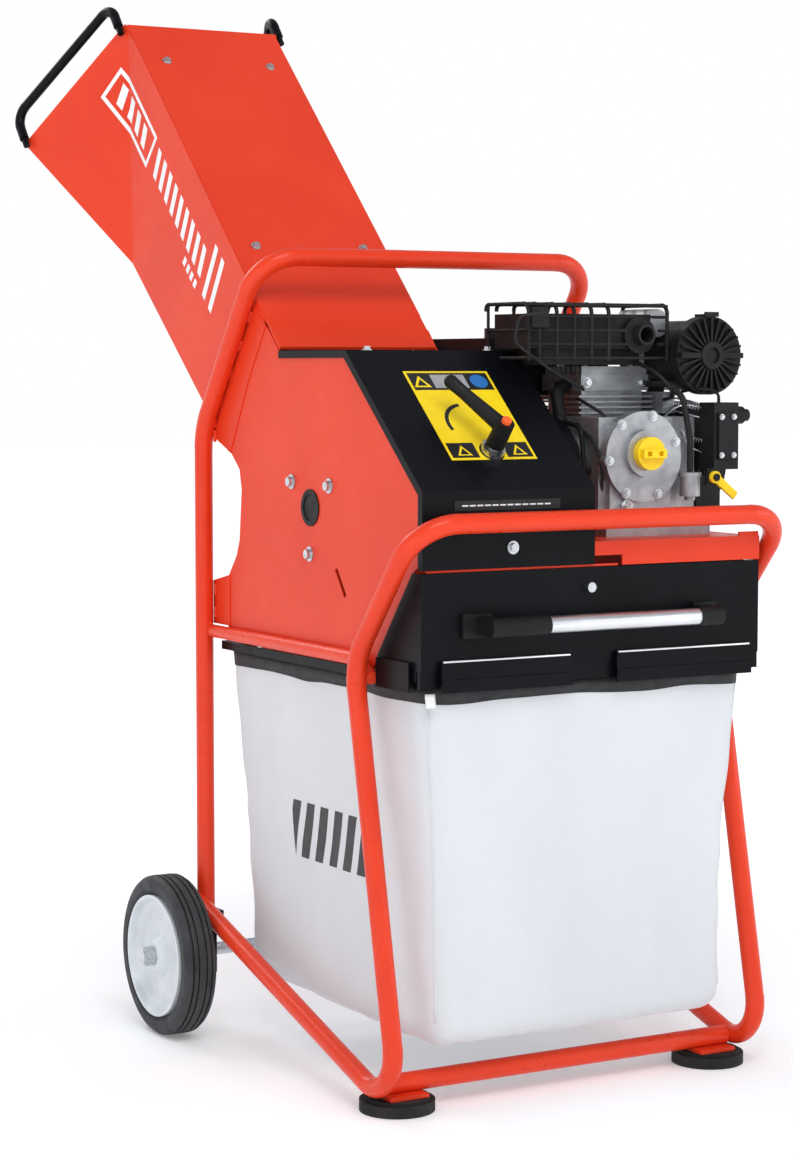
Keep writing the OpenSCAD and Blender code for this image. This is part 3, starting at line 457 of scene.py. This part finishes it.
bm = bmesh.new()
for z in (655, 690, 930, 952):
    bead(bm, (-284, -14, z), (-284, -14, z + 16), 3.2 * MM)
for k in range(4):
    y = -30 - 34 * k
    z = 985 + 43 * k
    bead(bm, (-284, y, z), (-284, y - 10, z + 13), 3.2 * MM)
for side in (-1, 1):
    bead(bm, (side * 297, -563, 51), (side * 301, -563, 50), 3.0 * MM)
    bead(bm, (side * 291, -15, 645), (side * 295, -12, 645), 3.0 * MM)
    bead(bm, (side * 300, -12, 214), (side * 306, -16, 208), 3.5 * MM)
piece("weld_beads", bm, red_tube, "frame")

# %% [markdown]
# ## The red edge under the guard
# A thin red line runs between the black guard and the black hood and separates the two
# boxes. It is made here as a narrow lip on the front of the deck under the housing.

# %% Red lip
bm = bmesh.new()
LIP_LENGTH, LIP_THICK = 0.316, 0.0036
lip_size = Matrix.Diagonal((LIP_LENGTH, LIP_THICK, LIP_THICK, 1))
lip_box = Matrix.Translation(place(-118, -648.4, 766.1)) @ lip_size
bmesh.ops.create_cube(bm, size=1, matrix=lip_box)
bmesh.ops.bevel(bm, geom=bm.edges[:], offset=0.6 * MM, offset_type="OFFSET", segments=2,
                profile=0.5, affect="EDGES", material=-1)
piece("deck_lip", bm, red_sheet, "frame")

# %% [markdown]
# ## Small parts round the engine
# Between the carburettor and the control box of such an engine there are screws, rods
# and springs that are too thin to matter as solids, and the eye misses them at once if
# they aren't there. Rods are thin round bars along a few points, a spring is the same
# bar wound round its axis, and a screw is a low hexagon on a round washer. How many
# there are and where they run is made up. The bars come out with their faces inwards,
# and their normals still have to be recalculated.


# %% Thin bars and screws
def tube_along(bm, points, radius, sides=6):
    """A thin round bar through the points, closed at both ends."""
    ring = None
    for i, point in enumerate(points):
        ahead = points[min(i + 1, len(points) - 1)]
        behind = points[max(i - 1, 0)]
        turn = Vector((0, 0, 1)).rotation_difference((ahead - behind).normalized())
        matrix = Matrix.Translation(point) @ turn.to_matrix().to_4x4()
        made = bmesh.ops.create_circle(bm, segments=sides, radius=radius, matrix=matrix,
                                       cap_ends=i in (0, len(points) - 1))
        edges = [e for e in bm.edges if all(v in made["verts"] for v in e.verts)]
        if ring is not None:
            bmesh.ops.bridge_loops(bm, edges=ring + edges)
        ring = edges


def smooth_line(points, count):
    """More points on the same route, with its corners rounded."""
    for _ in range(count):
        finer = [points[0]]
        for a, b in zip(points, points[1:]):
            finer += [a.lerp(b, 0.25), a.lerp(b, 0.75)]
        points = finer + [points[-1]]
    return points


def route(bm, stops, radius):
    tube_along(bm, smooth_line([place(*stop) for stop in stops], 2), radius * MM)


def spring(bm, start, end, radius, turns, wire):
    a, b = place(*start), place(*end)
    axis = (b - a).normalized()
    side = axis.orthogonal().normalized()
    other = axis.cross(side)
    steps = turns * 10
    points = []
    for i in range(steps + 1):
        angle = 2 * math.pi * turns * i / steps
        swing = side * math.cos(angle) + other * math.sin(angle)
        points.append(a.lerp(b, i / steps) + swing * radius * MM)
    tube_along(bm, points, wire * MM, 5)


def screw(bm, at, size, direction="-Y"):
    turn = Vector((0, 0, 1)).rotation_difference(DIRECTIONS[direction])
    centre = Matrix.Translation(place(*at)) @ turn.to_matrix().to_4x4()
    for sides, radius, low, high in ((20, 0.9, 0, 0.18), (6, 0.62, 0.18, 0.75)):
        middle = Matrix.Translation((0, 0, size * MM * (low + high) / 2))
        bmesh.ops.create_cone(bm, cap_ends=True, segments=sides, radius1=size * radius * MM,
                              radius2=size * radius * 0.97 * MM,
                              depth=size * (high - low) * MM, matrix=centre @ middle)


DIRECTIONS = {"-Y": Vector((0, -1, 0)), "-X": Vector((-1, 0, 0)), "+Z": Vector((0, 0, 1))}

# %% Rods and springs
bm = bmesh.new()
route(bm, [(234, -500, 1000), (232, -548, 996), (246, -572, 988)], 1.5)
route(bm, [(224, -500, 984), (222, -545, 978), (250, -572, 968)], 1.3)
spring(bm, (226, -503, 994), (243, -570, 984), 3.4, 13, 0.55)
route(bm, [(198, -516, 962), (214, -562, 958), (214, -570, 930), (244, -574, 918)], 1.5)
spring(bm, (201, -556, 944), (243, -572, 936), 3.0, 11, 0.5)
route(bm, [(190, -545, 970), (200, -574, 992), (244, -578, 984)], 1.2)
piece("engine_rods", bm, zinc, "frame")

# %% Small cables
bm = bmesh.new()
route(bm, [(232, -500, 1002), (236, -560, 1014), (262, -584, 1010), (262, -585, 990)], 2.4)
route(bm, [(170, -490, 1056), (186, -540, 1036), (206, -556, 1002), (222, -500, 996)], 3.0)
route(bm, [(90, -466, 1000), (74, -520, 990), (84, -556, 974), (88, -556, 940)], 2.6)
route(bm, [(70, -500, 958), (62, -556, 940), (66, -572, 900), (74, -556, 860)], 2.4)
piece("engine_cables", bm, rubber, "frame")

# %% Screws
BLOWER_Y, BLOWER_Z, BLOWER_BOLTS = -478, 906, 66
bm = bmesh.new()
for z in (916, 972):
    for x in (251, 273):
        screw(bm, (x, -608, z), 5)
for x in (100, 200):
    screw(bm, (x, -478, 1022), 9)
# the negative size mirrors these three, so their faces point inwards
for angle in (45, 165, 285):
    y = BLOWER_Y + BLOWER_BOLTS * math.cos(math.radians(angle))
    z = BLOWER_Z + BLOWER_BOLTS * math.sin(math.radians(angle))
    screw(bm, (300.0, y, z), -5, "-X")
for x in (110, 190):
    for y in (-460, -390):
        screw(bm, (x, y, 1046), 7, "+Z")
piece("engine_screws", bm, zinc, "frame", smooth=False)

# %% [markdown]
# ## Bare edges of the clip rails
# The rails that clip the bag to the hood show a bright line along their upper edge. What
# makes it isn't known. A bare metal strip a few millimetres high stands for it.

# %% Rail edges
RAIL_Y = -653.0
EDGE_Z = 642.6
EDGE_DEEP, EDGE_HIGH = 7.0, 3.2
bm = bmesh.new()
for x0, x1 in ((-255, -47), (34, 265)):
    strip_box = Matrix.Translation(place((x0 + x1) / 2, RAIL_Y - 5.0, EDGE_Z))
    size = Matrix.Diagonal(((x1 - x0) * MM, EDGE_DEEP * MM, EDGE_HIGH * MM, 1))
    bmesh.ops.create_cube(bm, size=1, matrix=strip_box @ size)
bmesh.ops.bevel(bm, geom=bm.edges[:], offset=0.8 * MM, offset_type="OFFSET", segments=2,
                profile=0.5, affect="EDGES", material=-1)
piece("rail_edges", bm, brushed, "bag_drawer")

# %% [markdown]
# ## The collection bag
# The bag is woven polypropylene, sewn into an open box that narrows downwards, and it
# hangs from the slide bars by its rim. A flat-sided solid looks like cardboard, so the
# shell starts as an open box whose edges are rounded, is cut into a fine grid, and is
# then pulled about the way weight does it: the sides belly a little, the corners are
# drawn in half way down, the floor sags and soft creases run down from the corners.

# %% Bag box
RIM_HALF = 273.0
RIM_FRONT, RIM_BACK = -641.0, -31.0
RIM_Z, FLOOR_Z = 605.0, 94.0
NARROW_X, NARROW_FRONT, NARROW_BACK = 22.0, 12.0, 30.0
middle_y = (RIM_FRONT + RIM_BACK) / 2

bm = bmesh.new()
bmesh.ops.create_cube(bm, size=1)
bmesh.ops.scale(bm, vec=(2 * RIM_HALF, RIM_BACK - RIM_FRONT, RIM_Z - FLOOR_Z), verts=bm.verts)
bmesh.ops.translate(bm, vec=(0, middle_y, (RIM_Z + FLOOR_Z) / 2), verts=bm.verts)
lid = [f for f in bm.faces if f.normal.z > 0.9]
bmesh.ops.delete(bm, geom=lid, context="FACES_ONLY")
upright = [e for e in bm.edges if abs(e.verts[0].co.z - e.verts[1].co.z) > 100]
under = [e for e in bm.edges if max(v.co.z for v in e.verts) < FLOOR_Z + 1]
bmesh.ops.bevel(bm, geom=upright + under, offset=34, offset_type="OFFSET", segments=4,
                profile=0.5, affect="EDGES", material=-1)


def slice_grid(bm, axis, low, high, step):
    normal = [0, 0, 0]
    normal[axis] = 1
    at = low + step
    while at < high - step / 2:
        point = [0, 0, 0]
        point[axis] = at
        geom = bm.verts[:] + bm.edges[:] + bm.faces[:]
        bmesh.ops.bisect_plane(bm, geom=geom, plane_co=point, plane_no=normal, dist=0.5)
        at += step


GRID = 13.0
slice_grid(bm, 0, -RIM_HALF + 34, RIM_HALF - 34 + GRID, GRID)
slice_grid(bm, 1, RIM_FRONT + 34, RIM_BACK - 34 + GRID, GRID)
slice_grid(bm, 2, FLOOR_Z + 34, RIM_Z, GRID)
print("bag box faces:", len(bm.faces))

# %% Cloth coordinates
cloth = bm.loops.layers.uv.new("cloth")
for face in bm.faces:
    n = face.normal
    for loop in face.loops:
        co = loop.vert.co
        if abs(n.z) > 0.75:
            loop[cloth].uv = (co.x * MM, co.y * MM)
        elif abs(n.x) > abs(n.y):
            loop[cloth].uv = (co.y * MM + 3, co.z * MM)
        else:
            loop[cloth].uv = (co.x * MM, co.z * MM)


# %% Sag and creases
def fade(t):
    t = max(0.0, min(1.0, t))
    return t * t * (3 - 2 * t)


def bag_point(co):
    """Where a point of the straight box ends up on the hanging bag."""
    down = (RIM_Z - co.z) / (RIM_Z - FLOOR_Z)
    across_x = co.x / RIM_HALF
    across_y = (co.y - middle_y) / ((RIM_BACK - RIM_FRONT) / 2)
    x = co.x * (1 - down * NARROW_X / RIM_HALF)
    front = RIM_FRONT + down * NARROW_FRONT
    back = RIM_BACK - down * NARROW_BACK
    y = (front + back) / 2 + across_y * (back - front) / 2
    z = co.z
    wall_x = fade((abs(across_x) - 0.86) / 0.1)
    wall_y = fade((abs(across_y) - 0.88) / 0.1)
    hang = fade(down / 0.25)
    belly = math.sin(math.pi * min(1.0, down * 1.05)) * 7.0
    free_x = 1 - across_y ** 2
    free_y = 1 - across_x ** 2
    x += math.copysign(1, across_x) * wall_x * (1 - wall_y) * belly * free_x
    y += math.copysign(1, across_y) * wall_y * (1 - wall_x) * belly * free_y
    pinch = 15.0 if across_x > 0 else 3.0
    x -= math.copysign(pinch, across_x) * wall_x * math.sin(math.pi * down) ** 2
    spot = Vector((co.x, co.y, co.z * 0.55)) / 120
    soft = noise.noise(spot) * 5.5 + noise.noise(spot * 2.6) * 2.2
    corner = fade(abs(across_x) * abs(across_y) * 1.4 - 0.3)
    creases = math.sin(co.z / 17 + 3 * noise.noise(spot * 1.5)) * 1.2 * corner
    push = (soft + creases) * hang * (1 - 0.5 * wall_x * wall_y)
    x += math.copysign(1, across_x) * wall_x * push
    y += math.copysign(1, across_y) * wall_y * push
    if down > 0.9:
        z -= 6 * (1 - across_x ** 2) * (1 - across_y ** 2)
        z += noise.noise(spot * 2) * 2.5
    return Vector((x, y, z))


for v in bm.verts:
    v.co = bag_point(v.co)
shell_area = sum(f.calc_area() for f in bm.faces) * MM * MM
print("bag cloth area, square metres:", round(shell_area, 3))

# %% [markdown]
# ## Woven fabric
# The cloth is woven from flat tapes about two millimetres wide. Two wave patterns at
# right angles on the cloth's own coordinates make the over-and-under, a slow noise
# lets some areas look thinner, and a little light passes through. The dark print on
# the left side is a run of slanting bars, cut out of the same coordinates.

# %% Fabric finish
fabric = finish("woven_fabric", (0.80, 0.81, 0.84), 0.72)
fabric_shader = shader_of(fabric)
fabric_shader.inputs["Sheen Weight"].default_value = 0.25
fabric_shader.inputs["Sheen Roughness"].default_value = 0.5
fabric_shader.inputs["Subsurface Weight"].default_value = 0.12
fabric_shader.inputs["Subsurface Radius"].default_value = (0.01, 0.01, 0.01)
TAPE = 0.0024


def tape_wave(mat, direction):
    coords = add(mat, "ShaderNodeTexCoord")
    wave = add(mat, "ShaderNodeTexWave", bands_direction=direction)
    wave.inputs["Scale"].default_value = 0.314 / TAPE
    wave.inputs["Distortion"].default_value = 0.6
    wave.inputs["Detail"].default_value = 1.0
    join(mat, coords.outputs["UV"], wave.inputs["Vector"])
    return wave.outputs["Fac"]


warp, weft = tape_wave(fabric, "X"), tape_wave(fabric, "Y")
weave = add(fabric, "ShaderNodeMath", operation="MULTIPLY")
join(fabric, warp, weave.inputs[0])
join(fabric, weft, weave.inputs[1])
cloth_bump = bump(fabric, weave.outputs[0], 0.35, 0.0006)
bump(fabric, grain(fabric, 16, 3, (1, 0.18, 1), uv=True), 0.22, 0.003, cloth_bump)
rough(fabric, grain(fabric, 30, 4, uv=True), 0.62, 0.82)


def math_node(mat, operation, a, b):
    node = add(mat, "ShaderNodeMath", operation=operation)
    for socket, value in zip(node.inputs, (a, b)):
        if isinstance(value, (int, float)):
            socket.default_value = value
        else:
            join(mat, value, socket)
    return node.outputs[0]


def within(mat, value, low, high):
    above = math_node(mat, "GREATER_THAN", value, low)
    below = math_node(mat, "LESS_THAN", value, high)
    return math_node(mat, "MULTIPLY", above, below)


# %% Print on the bag
coords = add(fabric, "ShaderNodeTexCoord")
split = add(fabric, "ShaderNodeSeparateXYZ")
join(fabric, coords.outputs["UV"], split.inputs["Vector"])
PRINT_MIDDLE = 3 - 0.345
BAR_PITCH = 0.044
lean_u = math_node(fabric, "MULTIPLY", split.outputs["Y"], 0.35)
u = math_node(fabric, "ADD", split.outputs["X"], lean_u)
in_u = within(fabric, split.outputs["X"], PRINT_MIDDLE - 0.115, PRINT_MIDDLE + 0.115)
in_v = within(fabric, split.outputs["Y"], 0.312, 0.398)
phase = math_node(fabric, "FRACT", math_node(fabric, "DIVIDE", u, BAR_PITCH), 0)
bars = math_node(fabric, "GREATER_THAN", phase, 0.42)
mark = math_node(fabric, "MULTIPLY", math_node(fabric, "MULTIPLY", in_u, in_v), bars)
tone = add(fabric, "ShaderNodeValToRGB")
tone.color_ramp.elements[0].position = 0.3
tone.color_ramp.elements[0].color = (0.63, 0.65, 0.675, 1)
tone.color_ramp.elements[1].position = 0.7
tone.color_ramp.elements[1].color = (0.69, 0.705, 0.73, 1)
join(fabric, grain(fabric, 5, 3, (1, 0.4, 1), uv=True), tone.inputs["Fac"])
blend_mark = add(fabric, "ShaderNodeMixRGB")
blend_mark.inputs["Color2"].default_value = (0.012, 0.012, 0.014, 1)
join(fabric, mark, blend_mark.inputs["Fac"])
join(fabric, tone.outputs["Color"], blend_mark.inputs["Color1"])
join(fabric, blend_mark.outputs["Color"], fabric_shader.inputs["Base Color"])
print("fabric nodes:", len(fabric.node_tree.nodes))


# %% Bag shell
def to_metres(bm):
    bmesh.ops.scale(bm, vec=(MM, MM, MM), verts=bm.verts)
    bmesh.ops.translate(bm, vec=(0, Y_SHIFT, 0), verts=bm.verts)


binding_source = bm.copy()
to_metres(bm)
bmesh.ops.recalc_face_normals(bm, faces=bm.faces)
bag = piece("bag_shell", bm, fabric, "bag_drawer")
wall = bag.modifiers.new("cloth thickness", "SOLIDIFY")
wall.thickness = 0.0009
wall.offset = -1
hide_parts("collection_bag")

# %% [markdown]
# ## Binding, seams and tag
# A black tape binds the rim and dips a little between its stitches, so its lower edge
# waves. It is the top of the same shell, swollen outwards. The seams are thin ridges
# down the four corners, where two layers are sewn together.

# %% Binding tape
BINDING_LOW = RIM_Z - 21
webbing = finish("black_webbing", (0.014, 0.014, 0.015), 0.7)
tint(webbing, grain(webbing, 60, 4), [(0.01, 0.01, 0.011), (0.028, 0.028, 0.03)])
rough(webbing, grain(webbing, 120, 3), 0.55, 0.8)
bump(webbing, grain(webbing, 1300, 2, (1, 1, 0.15)), 0.4, 0.0005)

bm = binding_source
geom = bm.verts[:] + bm.edges[:] + bm.faces[:]
bmesh.ops.bisect_plane(bm, geom=geom, plane_co=(0, 0, BINDING_LOW), plane_no=(0, 0, -1),
                       clear_outer=True, dist=0.5)
for v in bm.verts:
    outward = Vector((v.co.x / RIM_HALF, (v.co.y - middle_y) / 305, 0))
    if v.co.z < BINDING_LOW + 2:
        v.co.z += 1.8 * math.sin((v.co.x + v.co.y) / 41) + 3 * noise.noise(v.co / 70)
    if abs(outward.x) > 0.93:
        v.co.x += math.copysign(1.4, outward.x)
    if abs(outward.y) > 0.93:
        v.co.y += math.copysign(1.4, outward.y)
to_metres(bm)
bmesh.ops.recalc_face_normals(bm, faces=bm.faces)
binding = piece("bag_binding", bm, webbing, "bag_drawer")
tape = binding.modifiers.new("tape thickness", "SOLIDIFY")
tape.thickness = 0.0012
tape.offset = -1


# %% Corner seams
def corner_point(side, end, z):
    """A point on the rounded upright corner of the hanging bag."""
    inset = 34 * (1 - math.sqrt(0.5))
    x = side * (RIM_HALF - inset)
    y = RIM_FRONT + inset if end < 0 else RIM_BACK - inset
    moved = bag_point(Vector((x, y, z)))
    return place(moved.x, moved.y, moved.z)


bm = bmesh.new()
for side in (-1, 1):
    for end in (-1, 1):
        line = [corner_point(side, end, RIM_Z - 22 - 18 * k) for k in range(26)]
        tube_along(bm, line, 1.5 * MM)
bmesh.ops.recalc_face_normals(bm, faces=bm.faces)
seams = piece("bag_seams", bm, fabric, "bag_drawer")

# %% White tag
bm = bmesh.new()
bmesh.ops.create_cube(bm, size=1)
bmesh.ops.scale(bm, vec=(0.016, 0.0006, 0.02), verts=bm.verts)
bmesh.ops.subdivide_edges(bm, edges=bm.edges, cuts=3, use_grid_fill=True)
for v in bm.verts:
    v.co.y -= 0.003 * fade(0.5 - v.co.z / 0.02)
bmesh.ops.translate(bm, vec=place(-266, -643.6, 588), verts=bm.verts)
tag_cloth = plain_plastic("tag_cloth", (0.74, 0.74, 0.73), (0.84, 0.84, 0.83), 0.6, 0.8)
tag = piece("bag_tag", bm, tag_cloth, "bag_drawer")

# %% [markdown]
# ## Floor, light and camera
# The machine stands on a pale floor that glows, weakly near the machine and more strongly
# further off, in even studio light: one broad lamp above and to the front left models the
# shapes, weaker ones fill from the right and the left, and one from behind lifts the
# outline of the chute. The camera looks from the front left, slightly down, with a long
# lens.

# %% Floor
bm = bmesh.new()
bmesh.ops.create_grid(bm, x_segments=1, y_segments=1, size=30)
floor_mesh = bpy.data.meshes.new("floor")
bm.to_mesh(floor_mesh)
bm.free()
floor = bpy.data.objects.new("floor", floor_mesh)
bpy.context.scene.collection.objects.link(floor)
floor.location.z = -0.0005
floor_finish = finish("pale_glowing_floor", (0.93, 0.935, 0.94), 0.7)
tint(floor_finish, grain(floor_finish, 2, 2), [(0.92, 0.925, 0.935), (0.94, 0.945, 0.955)])
# Painted light: the floor glows, weakly near the machine so the lamps' shadows show under it,
# and more strongly with distance so the far floor fades into the white backdrop.
shader_of(floor_finish).inputs["Emission Color"].default_value = (0.97, 0.985, 1, 1)
floor_spot = add(floor_finish, "ShaderNodeTexCoord")
far_off = add(floor_finish, "ShaderNodeVectorMath", operation="LENGTH")
join(floor_finish, floor_spot.outputs["Object"], far_off.inputs[0])
glow = spread(floor_finish, far_off.outputs["Value"], 0.16, 0.60, 0.5, 3.2)
join(floor_finish, glow, shader_of(floor_finish).inputs["Emission Strength"])
floor_mesh.materials.append(floor_finish)


# %% Lights
def soft_lamp(name, where, size, power, colour=(1, 1, 1)):
    data = bpy.data.lights.new(name, "AREA")
    data.shape = "RECTANGLE"
    data.size, data.size_y = size
    data.energy = power
    data.color = colour
    lamp = bpy.data.objects.new(name, data)
    bpy.context.scene.collection.objects.link(lamp)
    lamp.location = where
    aim = Vector((0, 0, 0.8)) - Vector(where)
    lamp.rotation_euler = aim.to_track_quat("-Z", "Y").to_euler()
    return lamp


soft_lamp("key", (-1.2, -3.4, 4.2), (2.6, 2.2), 95)
soft_lamp("fill", (3.6, -2.8, 2.0), (2.4, 2.4), 35)
soft_lamp("back", (-1.0, 3.4, 3.4), (3.0, 1.6), 60)
soft_lamp("left", (-4.2, -1.4, 1.7), (2.6, 2.6), 13)
world = bpy.data.worlds.new("studio")
bpy.context.scene.world = world
world.use_nodes = True
background = world.node_tree.nodes["Background"]
direction = add(world, "ShaderNodeTexCoord")
height = add(world, "ShaderNodeSeparateXYZ")
join(world, direction.outputs["Generated"], height.inputs["Vector"])
ceiling = add(world, "ShaderNodeValToRGB")
ceiling.color_ramp.elements[0].position = 0.18
ceiling.color_ramp.elements[0].color = (1, 1, 1, 1)
ceiling.color_ramp.elements[1].position = 0.5
ceiling.color_ramp.elements[1].color = (0.40, 0.42, 0.45, 1)
join(world, height.outputs["Z"], ceiling.inputs["Fac"])
join(world, ceiling.outputs["Color"], background.inputs["Color"])
background.inputs["Strength"].default_value = 1.0
bpy.context.scene.view_settings.view_transform = "Standard"
print("lamps: 4")

# %% Camera
YAW, PITCH = math.radians(29.8), math.radians(4.49)
look = Vector((math.sin(YAW) * math.cos(PITCH), math.cos(YAW) * math.cos(PITCH),
               -math.sin(PITCH)))
camera_data = bpy.data.cameras.new("camera")
camera_data.sensor_fit = "VERTICAL"
camera_data.sensor_height = 36
camera_data.lens = 84.3
camera_data.clip_end = 100
camera = bpy.data.objects.new("camera", camera_data)
bpy.context.scene.collection.objects.link(camera)
camera.location = place(-2143, -3829, 1045.4)
camera.rotation_euler = look.to_track_quat("-Z", "Y").to_euler()
bpy.context.scene.camera = camera
